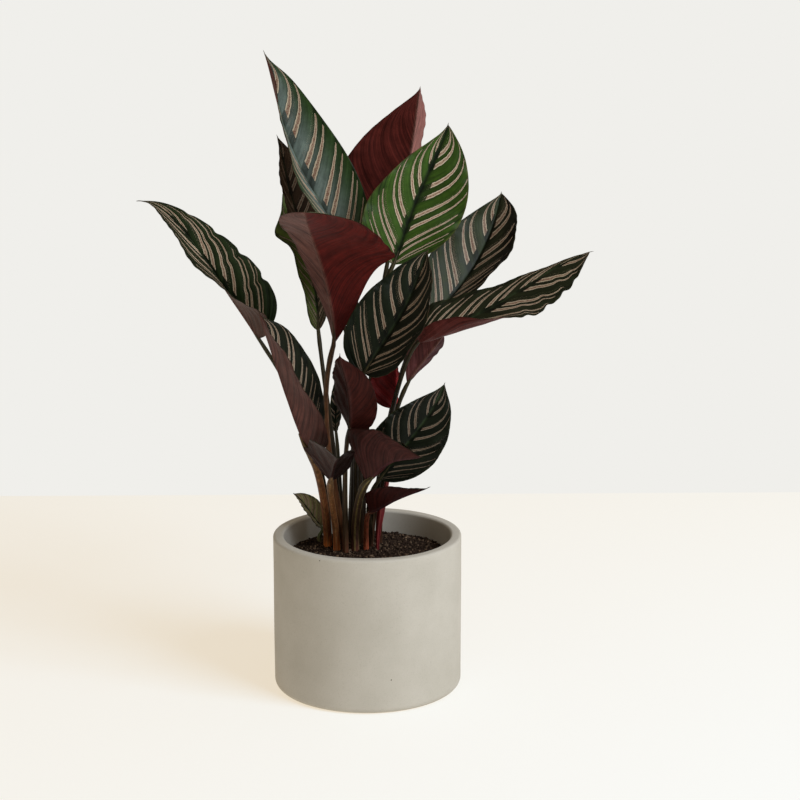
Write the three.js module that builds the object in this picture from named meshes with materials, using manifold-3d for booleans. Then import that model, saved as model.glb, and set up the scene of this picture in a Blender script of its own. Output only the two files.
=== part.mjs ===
// Potted pinstripe calathea: a tuft of striped leaves on slender stalks that stand in the soil of a
// plain cylindrical concrete pot. Millimetres, +Z up, +X to the right and -Y to the front.
// The origin is on the ground, under the middle of the pot.

import * as THREE from "three";
import { mergeVertices } from "three/addons/utils/BufferGeometryUtils.js";
import Module from "manifold-3d";

// The pot is a straight cylinder of cast concrete.
const POT_RADIUS = 82.5;
const POT_HEIGHT = 137;
const POT_WALL = 9.3;
const POT_FLOOR = 12;
const RIM_ROUNDING = 2.4;
const FOOT_ROUNDING = 6;
const POT_SIDES = 56;

// The soil fills the pot to a little below the rim and rises gently to the stalks.
const SOIL_LEVEL = 117;
const SOIL_MOUND = 2.5;
const SOIL_SIDES = 40;
const CLEARANCE = 0.35;

// Each stalk is sunk this deep and leans over only once it is out of the soil.
const SINK_DEPTH = 22;
const BEND_HEIGHT = 121;
const STALK_SIDES = 8;
const STALK_STEPS = 8;
const STALK_GAP = 0.3;

// A blade is thickest along its midrib.
const MARGIN_THICKNESS = 0.9;
const RIB_THICKNESS = 1.6;
const TIP_HALF_WIDTH = 1.2;
const STEPS_ACROSS = 6;

const COLOURS = {
  concrete: 0xa8a49b,
  soil: 0x2d2019,
  striped: 0x24402c,
  maroon: 0x4b2226,
  stalk: 0x5b3622,
  redStalk: 0x7a2c30,
};

// One entry is one leaf, from its own growing habit. "rib" holds five points of the midrib from the
// blade's base to its tip. "face" is the way the green upper side looks, from base to tip. "width" is
// the width of the left and of the right half, and "shape" how full each outline is towards the base
// and the tip. "fold" and "curl" raise each half at the midrib and bend it on towards the margin, in
// degrees from base to tip. "wave" is the height, number and start of the margin's waves. "bulge" is
// the half that stands out further in one place, then the place, the share and the reach of that.
// "foot" is where the stalk leaves the soil, "ease" how long it keeps its first and last direction,
// "sway" how far it bows out along X and Y, and "girth" its radius at the soil and at the blade.
const LEAVES = [
  {
    name: "tall-left",
    rib: [[-14, 25, 372], [-35, 36, 414], [-59, 46, 457], [-75, 54, 503], [-87, 58, 549]],
    face: [[0.64, -0.77, 0.1], [0.64, -0.77, 0.1]],
    width: [41, 41], shape: [[0.6, 1], [0.6, 0.95]],
    fold: [[35, 42, 48, 68], [40, 40, 38, 35]], curl: [[0, 10], [0, 0]],
    wave: [1.2, 3, 0.2],
    foot: [-13, 27], ease: [0.35, 0.2], girth: [3, 1.9], steps: 16, skin: "striped",
  },
  {
    name: "dark-left",
    rib: [[-35, 58, 355], [-50, 62, 384], [-63, 66, 415], [-71, 68, 447], [-77, 68, 476]],
    face: [[0.6, -0.8, 0.1], [0.6, -0.8, 0.1]],
    width: [26, 26], shape: [[0.6, 1], [0.6, 1]],
    fold: [[40, 40], [30, 30]], curl: [[0, 0], [0, 0]],
    wave: [1, 3, 0.2],
    foot: [-15, 37], ease: [0.35, 0.35], girth: [2.4, 1.5], steps: 14, skin: "striped",
  },
  {
    name: "wavy-left",
    rib: [[-42, 30, 312], [-45, 57, 341], [-52, 79, 371], [-62, 92, 400], [-72, 98, 426]],
    face: [[-0.1, -1, 0.3], [-0.1, -1, 0.3]],
    width: [12.5, 12.5], shape: [[0.4, 0.4], [0.3, 0.7]],
    fold: [[25, 20], [25, 20]], curl: [[0, 0], [0, 0]],
    wave: [2.5, 3, 0.2], bulge: [0, 0.7, 0.95, 0.11],
    sway: [4, 3],
    foot: [-27, 19], ease: [0.35, 0.35], girth: [2.8, 1.7], steps: 16, skin: "striped",
  },
  {
    name: "top-back",
    rib: [[19, 85, 363], [28, 86, 405], [37, 82, 447], [43, 74, 485], [47, 62, 518]],
    face: [[-0.5, 0.85, 0.1], [-0.5, 0.85, 0.3]],
    width: [50, 60], shape: [[0.6, 0.8], [0.6, 1.15]],
    fold: [[40, 48], [30, 25]], curl: [[0, 0], [0, 0]],
    wave: [1.5, 3, 0.2],
    foot: [-4, 35], ease: [0.35, 0.35], girth: [3, 1.9], steps: 16, skin: "maroon",
  },
  {
    name: "big-front",
    rib: [[-28, -20, 308], [-31, -34, 353], [-40, -54, 392], [-46, -84, 416], [-48, -124, 434]],
    face: [[0.5, 0.85, 0.1], [0.3, 0.7, 0.6], [0, 0.2, 1]],
    width: [60, 24], shape: [[1.2, 0.5], [0.9, 0.35]],
    fold: [[30, 5, 10], [20, 10, 0]], curl: [[0, -10, -25], [0, 0]],
    wave: [1, 2, 0.2], bulge: [0, 0.55, 0.25, 0.17],
    sway: [-9, 0],
    foot: [-20, 10], ease: [0.35, 0.35], girth: [3.2, 2.1], steps: 16, skin: "maroon",
  },
  {
    name: "top-right",
    rib: [[23, 5, 373], [32, 11, 397], [43, 18, 426], [57, 25, 457], [70, 30, 489]],
    face: [[0.15, -1, 0.2], [0.15, -1, 0.2]],
    width: [42, 42], shape: [[0.5, 1.15], [0.9, 0.85]],
    fold: [[15, 15], [5, 5]], curl: [[0, 0], [0, 0]],
    wave: [1.5, 3, 0.2],
    foot: [-6, 24], ease: [0.35, 0.35], girth: [3, 1.9], steps: 16, skin: "striped",
  },
  {
    name: "front-centre",
    rib: [[-2, -49, 290], [14, -50, 316], [29, -48, 340], [40, -42, 362], [51, -33, 390]],
    face: [[-0.2, -1, 0.2], [-0.2, -1, 0.2]],
    width: [35.5, 36], shape: [[0.35, 0.65], [0.5, 0.75]],
    fold: [[5, 5], [40, 50]], curl: [[0, 0], [0, 0]],
    wave: [1.2, 3, 0.2],
    foot: [-10, 17], ease: [0.35, 0.1], girth: [2.6, 1.7], steps: 16, skin: "striped",
  },
  {
    name: "right-back",
    rib: [[53, 24, 324], [81, 48, 346], [102, 68, 375], [114, 80, 402], [120, 88, 424]],
    face: [[-0.2, -1, 0.3], [-0.2, -1, 0.3]],
    width: [38, 35], shape: [[0.6, 1.15], [0.6, 0.8]],
    fold: [[15, 20], [65, 40, 20]], curl: [[0, 0], [0, 0]],
    wave: [1.5, 3, 0.2],
    foot: [10, 44], ease: [0.6, 0.04], girth: [2.6, 1.6], steps: 16, skin: "striped",
  },
  {
    name: "far-right",
    rib: [[45, -2, 308], [75, -4, 322], [111, -4, 340], [150, -6, 365], [188, -14, 386]],
    face: [[-0.4, -0.57, 0.72], [-0.4, -0.57, 0.72]],
    width: [29, 38], shape: [[0.4, 1.6], [0.4, 0.5]],
    fold: [[10, 10, 8], [-15, -10, 0, 8]], curl: [[0, 0], [170, 120, 0, 0]],
    wave: [1.5, 4, 0.2],
    sway: [7, 2],
    foot: [3, 28], ease: [0.35, 0.15], girth: [2.6, 1.8], steps: 18, skin: "striped",
  },
  {
    name: "far-left",
    rib: [[-92, -8, 312], [-110, -12, 341], [-134, -14, 379], [-161, -12, 414], [-191, -6, 429]],
    face: [[0.52, -0.71, 0.48], [0.52, -0.71, 0.48]],
    width: [38, 34], shape: [[0.5, 1.3], [0.6, 1.6]],
    fold: [[80, 68, 38, 30, 40], [45, 45, 40, 40]], curl: [[0, 0], [0, 0]],
    wave: [1.2, 4, 0.2],
    foot: [-34, 31], ease: [0.35, 0.35], girth: [2.4, 1.6], steps: 18, skin: "striped",
  },
  {
    name: "folded-left",
    rib: [[-51, -25, 219], [-64, -36, 256], [-77, -43, 300], [-85, -47, 327], [-89, -46, 341]],
    face: [[0.9, -0.32, 0.3], [0.9, -0.32, 0.3]],
    width: [33, 33], shape: [[0.35, 1], [0.6, 1.4]],
    fold: [[78, 58, 43, 43], [43, 43]], curl: [[0, 0], [0, 0]],
    wave: [1.5, 3, 0.2],
    foot: [-35, 21], ease: [0.15, 0.3], girth: [4, 3], steps: 16, skin: "maroon",
  },
  {
    name: "dark-centre",
    rib: [[-15, -31, 237], [-14, -42, 256], [-16, -52, 279], [-20, -60, 296], [-22, -66, 309]],
    face: [[0.5, 0.85, 0.2], [0.5, 0.85, 0.3]],
    width: [23, 27], shape: [[0.5, 1.2], [0.5, 1.2]],
    fold: [[30, 30], [30, 30]], curl: [[0, 0], [0, 0]],
    wave: [1, 3, 0.2],
    foot: [-19, -2], ease: [0.35, 0.35], girth: [2.8, 1.8], steps: 12, skin: "maroon",
  },
  {
    name: "low-right",
    rib: [[11, -20, 191], [27, -26, 214], [41, -28, 233], [54, -26, 251], [66, -20, 274]],
    face: [[0, -1, 0.3], [0, -1, 0.3]],
    width: [29, 29], shape: [[0.5, 0.9], [0.65, 0.85]],
    fold: [[12, 12], [12, 12]], curl: [[0, 0], [0, 0]],
    wave: [1.2, 4, 0.2],
    foot: [3, 16], ease: [0.35, 0.35], girth: [2.5, 1.6], steps: 14, skin: "striped",
  },
  {
    name: "cupped-right",
    rib: [[0, -38, 193], [10, -48, 206], [20, -60, 216], [31, -74, 222], [44, -90, 228]],
    face: [[-0.15, 0.5, 0.8], [-0.5, 0.3, 0.7]],
    width: [24, 34], shape: [[0.5, 0.9], [0.5, 0.9]],
    fold: [[-10, -10], [65, 75]], curl: [[140, 140], [0, 0]],
    wave: [1, 2, 0.2],
    bulge: [1, 0.24, 0.3, 0.13],
    foot: [-11, 5], ease: [0.35, 0.15], girth: [4, 3], steps: 12, skin: "maroon",
  },
  {
    name: "cupped-left",
    rib: [[-31, -38, 194], [-29, -46, 204], [-27, -58, 214], [-25, -74, 222], [-24, -94, 228]],
    face: [[0, 0.7, 0.7], [0, 0.3, 0.9]],
    width: [21.5, 29], shape: [[0.5, 0.9], [0.6, 0.5]],
    fold: [[35, 35], [39, 39]], curl: [[0, 0], [0, 0]],
    wave: [1, 2, 0.2],
    bulge: [1, 0.33, 0.22, 0.035],
    foot: [-27, 6], ease: [0.35, 0.15], girth: [3.2, 2.6], steps: 12, skin: "maroon",
  },
  {
    name: "narrow-right",
    rib: [[2, -18, 160], [13, -30, 168], [25, -42, 178], [39, -50, 186], [52, -56, 193]],
    face: [[-0.4, 0.5, 0.7], [-0.4, 0.5, 0.7]],
    width: [14, 19], shape: [[0.7, 1.5], [0.7, 1.9]],
    fold: [[60, 60], [60, 60]], curl: [[0, 0], [0, 0]],
    wave: [1, 2, 0.2],
    foot: [-1, 6], ease: [0.3, 0.1], girth: [2.5, 1.7], steps: 10, skin: "maroon",
  },
  {
    name: "slim-back",
    rib: [[-27, 18, 223], [-27, 16, 237], [-26, 14, 251], [-25, 13, 265], [-23, 12, 279]],
    face: [[-0.3, -0.95, 0.1], [-0.3, -0.95, 0.1]],
    width: [6, 7], shape: [[0.6, 0.8], [0.6, 0.8]],
    fold: [[35, 35], [35, 35]], curl: [[0, 0], [0, 0]],
    wave: [0.5, 2, 0.2],
    foot: [-23, 28], ease: [0.35, 0.35], girth: [2.1, 1.4], steps: 10, skin: "striped",
  },
  {
    name: "small-left",
    rib: [[-41, 32, 133], [-47, 31, 141], [-53, 30, 150], [-59, 30, 158], [-65, 31, 164]],
    face: [[0.6, -0.7, 0.4], [0.6, -0.7, 0.4]],
    width: [10, 13], shape: [[0.6, 0.9], [0.6, 0.9]],
    fold: [[40, 40], [20, 20]], curl: [[0, 0], [0, 0]],
    wave: [0.5, 2, 0.2],
    foot: [-43, 37], ease: [0.35, 0.35], girth: [1.8, 1.3], steps: 10, skin: "striped",
  },
  {
    name: "young-red",
    rib: [[26, 22, 243], [26, 22, 255], [26, 22, 269], [25, 22, 283], [22, 22, 300]],
    face: [[-0.3, 0.9, 0.1], [-0.3, 0.9, 0.1]],
    width: [7, 24], shape: [[0.6, 0.9], [0.6, 0.9]],
    fold: [[60, 60], [10, 10]], curl: [[0, 0], [0, 0]],
    wave: [1, 2, 0.2],
    foot: [9, 6], ease: [0.35, 0.35], girth: [2.6, 1.9], steps: 10, skin: "maroon",
  },
  {
    name: "rolled-right",
    rib: [[35, 4, 269], [43, 7, 281], [51, 9, 291], [59, 10, 301], [66, 11, 310]],
    face: [[-0.4, 0.85, 0.3], [-0.4, 0.85, 0.3]],
    width: [12, 21], shape: [[0.9, 0.35], [0.9, 0.35]],
    fold: [[25, 25], [40, 40]], curl: [[0, 0], [0, 0]],
    wave: [0, 1, 0],
    foot: [11, 28], ease: [0.35, 0.2], girth: [2.4, 1.8], steps: 10, skin: "maroon",
  },
];

// The polynomial through evenly spaced numbers, read at t from 0 to 1.
function through(values, t) {
  const last = values.length - 1;
  let total = 0;
  values.forEach((value, i) => {
    let share = value;
    for (let j = 0; j <= last; j += 1) {
      if (j !== i) {
        share *= (t * last - j) / (i - j);
      }
    }
    total += share;
  });
  return total;
}

// The same through evenly spaced points.
function throughPoints(points, t) {
  const coordinate = (k) => through(points.map((point) => point[k]), t);
  return new THREE.Vector3(coordinate(0), coordinate(1), coordinate(2));
}

// The blade's own directions at t: ahead along the midrib, face out of the upper side, and across
// from the left half to the right half.
function bladeFrame(leaf, t) {
  const step = 0.001;
  const ahead = throughPoints(leaf.rib, t + step).sub(throughPoints(leaf.rib, t - step)).normalize();
  const face = throughPoints(leaf.face, t);
  face.addScaledVector(ahead, -face.dot(ahead)).normalize();
  const across = new THREE.Vector3().crossVectors(ahead, face);
  return { ahead, face, across };
}

// Half the blade's width at t: a rounded base, the widest place before the middle, a drawn-out tip.
function halfWidth(leaf, side, t) {
  const [base, tip] = leaf.shape[side];
  const widest = base / (base + tip);
  const along = Math.min(Math.max(t, 0), 1);
  const outline = (along / widest) ** base * ((1 - along) / (1 - widest)) ** tip;
  let width = leaf.width[side] * outline;
  if (leaf.bulge && leaf.bulge[0] === side) {
    const [, place, share, spread] = leaf.bulge;
    width *= 1 + share * Math.exp(-(((along - place) / spread) ** 2));
  }
  return Math.max(width, TIP_HALF_WIDTH);
}

// A place on the blade's middle sheet, t along the midrib and s from -1 at the left margin to 1 at
// the right one, and the way the upper side looks there. Each half leaves the midrib at the fold
// angle, bends on by the curl angle on its way to the margin, and waves most at the margin.
function sheet(leaf, t, s) {
  const { face, across } = bladeFrame(leaf, t);
  const side = s < 0 ? 0 : 1;
  const sign = s < 0 ? -1 : 1;
  const reach = Math.abs(s);
  const width = halfWidth(leaf, side, t);
  const fold = THREE.MathUtils.degToRad(through(leaf.fold[side], t));
  const curl = THREE.MathUtils.degToRad(through(leaf.curl[side], t)) || 0.0001;
  const angle = fold + curl * reach;
  const out = (width * (Math.sin(angle) - Math.sin(fold))) / curl;
  const up = (width * (Math.cos(fold) - Math.cos(angle))) / curl;
  const [height, waves, start] = leaf.wave;
  const phase = 2 * Math.PI * (waves * t + start + side * 0.37);
  const lift = height * reach ** 2 * Math.sqrt(width / leaf.width[side]) * Math.sin(phase);
  const normal = face.clone().multiplyScalar(Math.cos(angle));
  if (s !== 0) {
    normal.addScaledVector(across, -sign * Math.sin(angle));
  }
  const point = throughPoints(leaf.rib, t)
    .addScaledVector(across, sign * out)
    .addScaledVector(face, up)
    .addScaledVector(normal, lift);
  return { point, normal: normal.normalize() };
}

// A closed mesh from corner points and faces of three or four corners, each turning outwards. A
// four-cornered face is split from its first corner to its third.
function meshFrom(points, faces, name, colour) {
  const geometry = new THREE.BufferGeometry();
  const positions = points.flatMap((point) => point.toArray());
  geometry.setAttribute("position", new THREE.Float32BufferAttribute(positions, 3));
  geometry.setIndex(faces.flatMap(([a, b, c, d]) => (d === undefined ? [a, b, c] : [a, b, c, a, c, d])));
  geometry.computeVertexNormals();
  const material = new THREE.MeshStandardMaterial({ color: colour, roughness: 0.6, metalness: 0 });
  const mesh = new THREE.Mesh(geometry, material);
  mesh.name = name;
  return mesh;
}

// A blade: the sheet moved out to both sides by half its thickness, and closed round its edge. Both
// faces are split into the same triangles.
function makeBlade(leaf) {
  const columns = STEPS_ACROSS + 1;
  const rows = leaf.steps + 1;
  const points = [];
  [1, -1].forEach((side) => {
    for (let i = 0; i < rows; i += 1) {
      for (let j = 0; j < columns; j += 1) {
        const t = i / leaf.steps;
        const s = (2 * j) / STEPS_ACROSS - 1;
        const ribShare = (1 - Math.abs(s)) ** 4;
        const thickness = THREE.MathUtils.lerp(MARGIN_THICKNESS, RIB_THICKNESS, ribShare);
        const { point, normal } = sheet(leaf, t, s);
        points.push(point.addScaledVector(normal, (side * thickness) / 2));
      }
    }
  });
  const upper = (i, j) => i * columns + j;
  const lower = (i, j) => rows * columns + upper(i, j);
  const faces = [];
  for (let i = 0; i < leaf.steps; i += 1) {
    for (let j = 0; j < STEPS_ACROSS; j += 1) {
      faces.push([upper(i, j), upper(i, j + 1), upper(i + 1, j + 1), upper(i + 1, j)]);
      faces.push([lower(i, j), lower(i + 1, j + 1), lower(i, j + 1)]);
      faces.push([lower(i, j), lower(i + 1, j), lower(i + 1, j + 1)]);
    }
    faces.push([upper(i, 0), upper(i + 1, 0), lower(i + 1, 0), lower(i, 0)]);
    const edge = STEPS_ACROSS;
    faces.push([upper(i + 1, edge), upper(i, edge), lower(i, edge), lower(i + 1, edge)]);
  }
  for (let j = 0; j < STEPS_ACROSS; j += 1) {
    const end = leaf.steps;
    faces.push([upper(0, j + 1), upper(0, j), lower(0, j), lower(0, j + 1)]);
    faces.push([upper(end, j), upper(end, j + 1), lower(end, j + 1), lower(end, j)]);
  }
  return meshFrom(points, faces, `blade-${leaf.name}`, COLOURS[leaf.skin]);
}

// The stalk's centre line: straight up out of the soil, then one easy bend into the blade's midrib.
function stalkLine(leaf) {
  const [x, y] = leaf.foot;
  const sunk = new THREE.Vector3(x, y, SOIL_LEVEL - SINK_DEPTH);
  const out = new THREE.Vector3(x, y, BEND_HEIGHT);
  const { ahead } = bladeFrame(leaf, 0);
  const top = throughPoints(leaf.rib, 0).addScaledVector(ahead, -STALK_GAP);
  const reach = top.distanceTo(out);
  const straightUp = new THREE.Vector3(0, 0, 1);
  const sway = new THREE.Vector3(...(leaf.sway ?? [0, 0]), 0);
  const bend = new THREE.CubicBezierCurve3(
    out,
    out.clone().addScaledVector(straightUp, reach * leaf.ease[0]).add(sway),
    top.clone().addScaledVector(ahead, -reach * leaf.ease[1]).add(sway),
    top,
  );
  return { points: [sunk, ...bend.getPoints(STALK_STEPS)], ahead };
}

// A stalk: a round tapering rod along that line, cut off square at both ends.
function makeStalk(leaf) {
  const { points: line, ahead } = stalkLine(leaf);
  const [soilRadius, bladeRadius] = leaf.girth;
  const last = line.length - 1;
  const points = [];
  line.forEach((centre, i) => {
    const before = line[Math.max(i - 1, 0)];
    const after = line[Math.min(i + 1, last)];
    let direction = after.clone().sub(before).normalize();
    if (i <= 1) {
      direction = new THREE.Vector3(0, 0, 1);
    }
    if (i === last) {
      direction = ahead;
    }
    const turn = new THREE.Quaternion().setFromUnitVectors(new THREE.Vector3(0, 0, 1), direction);
    const radius = THREE.MathUtils.lerp(soilRadius, bladeRadius, Math.max(i - 1, 0) / (last - 1));
    for (let k = 0; k < STALK_SIDES; k += 1) {
      const angle = (2 * Math.PI * k) / STALK_SIDES;
      const spoke = new THREE.Vector3(Math.cos(angle), Math.sin(angle), 0);
      points.push(spoke.multiplyScalar(radius).applyQuaternion(turn).add(centre));
    }
  });
  const ring = (i, k) => i * STALK_SIDES + (k % STALK_SIDES);
  const faces = [];
  for (let k = 0; k < STALK_SIDES; k += 1) {
    for (let i = 0; i < last; i += 1) {
      faces.push([ring(i, k), ring(i, k + 1), ring(i + 1, k + 1), ring(i + 1, k)]);
    }
    if (k >= 1 && k < STALK_SIDES - 1) {
      faces.push([ring(0, 0), ring(0, k + 1), ring(0, k)]);
      faces.push([ring(last, 0), ring(last, k), ring(last, k + 1)]);
    }
  }
  const colour = leaf.name === "young-red" ? COLOURS.redStalk : COLOURS.stalk;
  return meshFrom(points, faces, `stalk-${leaf.name}`, colour);
}

// A quarter circle of profile points from one angle to another, both in degrees.
function roundCorner(centreX, centreY, radius, from, to, steps) {
  return Array.from({ length: steps + 1 }, (_, i) => {
    const angle = THREE.MathUtils.degToRad(from + ((to - from) * i) / steps);
    return new THREE.Vector2(centreX + radius * Math.cos(angle), centreY + radius * Math.sin(angle));
  });
}

function turned(profile, sides) {
  return new THREE.LatheGeometry(profile, sides).rotateX(Math.PI / 2);
}

function makePot() {
  const inner = POT_RADIUS - POT_WALL;
  const profile = [
    new THREE.Vector2(0, 0),
    ...roundCorner(POT_RADIUS - FOOT_ROUNDING, FOOT_ROUNDING, FOOT_ROUNDING, -90, 0, 3),
    ...roundCorner(POT_RADIUS - RIM_ROUNDING, POT_HEIGHT - RIM_ROUNDING, RIM_ROUNDING, 0, 90, 2),
    ...roundCorner(inner + RIM_ROUNDING, POT_HEIGHT - RIM_ROUNDING, RIM_ROUNDING, 90, 180, 2),
    new THREE.Vector2(inner, POT_FLOOR),
    new THREE.Vector2(0, POT_FLOOR),
  ];
  const material = new THREE.MeshStandardMaterial({
    color: COLOURS.concrete,
    roughness: 0.85,
    metalness: 0,
  });
  const pot = new THREE.Mesh(turned(profile, POT_SIDES), material);
  pot.name = "pot";
  return pot;
}

function toSolid(geometry) {
  const bare = geometry.clone();
  bare.deleteAttribute("normal");
  bare.deleteAttribute("uv");
  const merged = mergeVertices(bare, 0.0001);
  const corners = Array.from(merged.index.array);
  const triVerts = [];
  for (let i = 0; i < corners.length; i += 3) {
    const [a, b, c] = corners.slice(i, i + 3);
    if (a !== b && b !== c && c !== a) {
      triVerts.push(a, b, c);
    }
  }
  return new wasm.Manifold(new wasm.Mesh({
    numProp: 3,
    vertProperties: new Float32Array(merged.attributes.position.array),
    triVerts: new Uint32Array(triVerts),
  }));
}

// The soil: a low mound that fills the pot, with a plain hole for each stalk.
function makeSoil() {
  const radius = POT_RADIUS - POT_WALL - CLEARANCE - 0.1;
  const bottom = POT_FLOOR + CLEARANCE;
  const profile = [
    new THREE.Vector2(0, bottom),
    new THREE.Vector2(radius, bottom),
    new THREE.Vector2(radius, SOIL_LEVEL - 1),
    new THREE.Vector2(radius * 0.72, SOIL_LEVEL),
    new THREE.Vector2(radius * 0.4, SOIL_LEVEL + SOIL_MOUND * 0.7),
    new THREE.Vector2(0, SOIL_LEVEL + SOIL_MOUND),
  ];
  let solid = toSolid(turned(profile, SOIL_SIDES));
  const holeDepth = SINK_DEPTH + CLEARANCE;
  const holeTop = SOIL_LEVEL + 3 * SOIL_MOUND;
  LEAVES.forEach((leaf) => {
    const holeRadius = leaf.girth[0] + CLEARANCE + 0.1;
    const height = holeTop - SOIL_LEVEL + holeDepth;
    const hole = new THREE.CylinderGeometry(holeRadius, holeRadius, height, STALK_SIDES);
    hole.rotateX(Math.PI / 2).rotateZ(Math.PI / 2);
    hole.translate(leaf.foot[0], leaf.foot[1], holeTop - height / 2);
    solid = solid.subtract(toSolid(hole));
  });
  const cut = solid.getMesh();
  const geometry = new THREE.BufferGeometry();
  geometry.setAttribute("position", new THREE.BufferAttribute(cut.vertProperties, 3));
  geometry.setIndex(new THREE.BufferAttribute(cut.triVerts, 1));
  const material = new THREE.MeshStandardMaterial({ color: COLOURS.soil, roughness: 1, metalness: 0 });
  const soil = new THREE.Mesh(geometry, material);
  soil.name = "soil";
  return soil;
}

const wasm = await Module();
wasm.setup();

const plant = new THREE.Group();
plant.add(makePot(), makeSoil());
LEAVES.forEach((leaf) => plant.add(makeBlade(leaf), makeStalk(leaf)));

export default plant;
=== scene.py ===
import bmesh
import bpy
import numpy as np
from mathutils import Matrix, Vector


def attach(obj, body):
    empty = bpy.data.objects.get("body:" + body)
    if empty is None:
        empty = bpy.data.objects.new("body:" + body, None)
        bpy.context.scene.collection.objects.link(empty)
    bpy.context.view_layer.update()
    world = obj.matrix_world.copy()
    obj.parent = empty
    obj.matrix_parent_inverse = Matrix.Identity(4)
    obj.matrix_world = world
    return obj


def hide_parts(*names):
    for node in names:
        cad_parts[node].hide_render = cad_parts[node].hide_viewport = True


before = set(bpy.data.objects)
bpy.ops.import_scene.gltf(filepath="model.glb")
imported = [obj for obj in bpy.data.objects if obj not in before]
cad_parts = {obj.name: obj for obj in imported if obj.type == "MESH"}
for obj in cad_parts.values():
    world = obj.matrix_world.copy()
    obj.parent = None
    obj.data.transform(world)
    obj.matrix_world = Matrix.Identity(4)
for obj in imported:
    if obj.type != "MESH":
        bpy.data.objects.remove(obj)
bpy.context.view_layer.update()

# The pot. Concrete cast in a plain cylindrical mould, with a rounded rim and foot. The cast face is
# smooth and matt, with faint clouds, a fine grit and a few pinholes where air sat against the mould.
MM = 0.001
POT_RADIUS = 82.5
POT_HEIGHT = 137
POT_WALL = 9.3
POT_FLOOR = 12
RIM_ROUNDING = 2.4
FOOT_ROUNDING = 6
POT_SIDES = 180
CLOUD_SIZE = 50
GRIT_SIZE = 1.1
PINHOLE_SPACING = 10
PINHOLE_SHARE = 0.05
CONCRETE = "#bdb6a9"
CONCRETE_CLOUD = "#aea799"
CONCRETE_GRIT = "#8f8676"
PINHOLE = "#3b352c"


def linear(colour):
    """An sRGB hex colour as the linear red, green, blue and alpha that Blender works with."""
    values = np.array([int(colour[i:i + 2], 16) for i in (1, 3, 5)]) / 255
    bright = ((values + 0.055) / 1.055) ** 2.4
    return (*np.where(values > 0.04045, bright, values / 12.92), 1.0)


def add(tree, kind, inputs=None, **settings):
    """Add one node with its settings, and give each input a number, a colour, another node's socket or
    another node, which stands for its first socket."""
    node = tree.nodes.new("ShaderNode" + kind)
    for key, value in settings.items():
        setattr(node, key, value)
    for key, value in (inputs or {}).items():
        if isinstance(value, bpy.types.Node):
            value = value.outputs[0]
        if isinstance(value, bpy.types.NodeSocket):
            tree.links.new(value, node.inputs[key])
        else:
            node.inputs[key].default_value = value
    return node


def new_material(name):
    """A material with an empty node tree."""
    material = bpy.data.materials.new(name)
    material.use_nodes = True
    material.node_tree.nodes.clear()
    return material, material.node_tree


def pattern_scale(size):
    """The scale that makes one cell of a pattern that many millimetres across."""
    return 1 / (size * MM)


def grid_faces(rows, columns):
    """Quads from each row of points to the next, closed from the last column round to the first."""
    row = np.arange(rows - 1)[:, None] * columns
    column = np.arange(columns)[None, :]
    after = (column + 1) % columns
    corners = [row + column, row + after, row + columns + after, row + columns + column]
    return np.stack(corners, axis=-1).reshape(-1, 4)


def new_piece(name, points, faces, materials, slots=None, **attributes):
    """A smooth mesh at the origin from points in millimetres, with its doubles merged so that its poles
    close. "slots" picks each face's material, and an attribute has one number or colour per point."""
    mesh = bpy.data.meshes.new(name)
    mesh.from_pydata((points.reshape(-1, 3) * MM).tolist(), [], [tuple(face) for face in faces])
    for key, values in attributes.items():
        is_colour = values.shape[-1] == 4
        layer = mesh.attributes.new(key, "FLOAT_COLOR" if is_colour else "FLOAT", "POINT")
        layer.data.foreach_set("color" if is_colour else "value", values.astype(np.float32).ravel())
    for material in materials:
        mesh.materials.append(material)
    if slots is not None:
        mesh.polygons.foreach_set("material_index", slots.ravel())
    mesh.polygons.foreach_set("use_smooth", np.ones(len(mesh.polygons), dtype=bool))
    shell = bmesh.new()
    shell.from_mesh(mesh)
    bmesh.ops.remove_doubles(shell, verts=shell.verts, dist=1e-7)
    shell.to_mesh(mesh)
    shell.free()
    piece = bpy.data.objects.new(name, mesh)
    bpy.context.scene.collection.objects.link(piece)
    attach(piece, "root")
    return piece


def arc(centre, radius, start, end, steps):
    """Points on an arc between two angles in degrees: centre + radius (cos, sin)."""
    angle = np.radians(np.linspace(start, end, steps))
    return np.stack([centre[0] + radius * np.cos(angle), centre[1] + radius * np.sin(angle)], axis=-1)


def turned(profile, sides):
    """A profile of (radius, height) carried round the Z axis: x = r cos a, y = r sin a, z = height."""
    angle = np.linspace(0, 2 * np.pi, sides, endpoint=False)[None, :]
    radius, height = profile[:, :1], profile[:, 1:]
    return np.stack([radius * np.cos(angle), radius * np.sin(angle), height + 0 * angle], axis=-1)


def finish_material(material, colour, rough, height, relief, strength, gloss=0.5):
    """The surface with its colour, roughness and gloss, and a relief in millimetres where height is 1."""
    tree = material.node_tree
    bump = add(tree, "Bump", {"Height": height, "Distance": relief * MM, "Strength": strength})
    shader = add(tree, "BsdfPrincipled", {
        "Base Color": colour, "Roughness": rough, "Normal": bump, "Specular IOR Level": gloss})
    add(tree, "OutputMaterial", {"Surface": shader})
    return material


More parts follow.
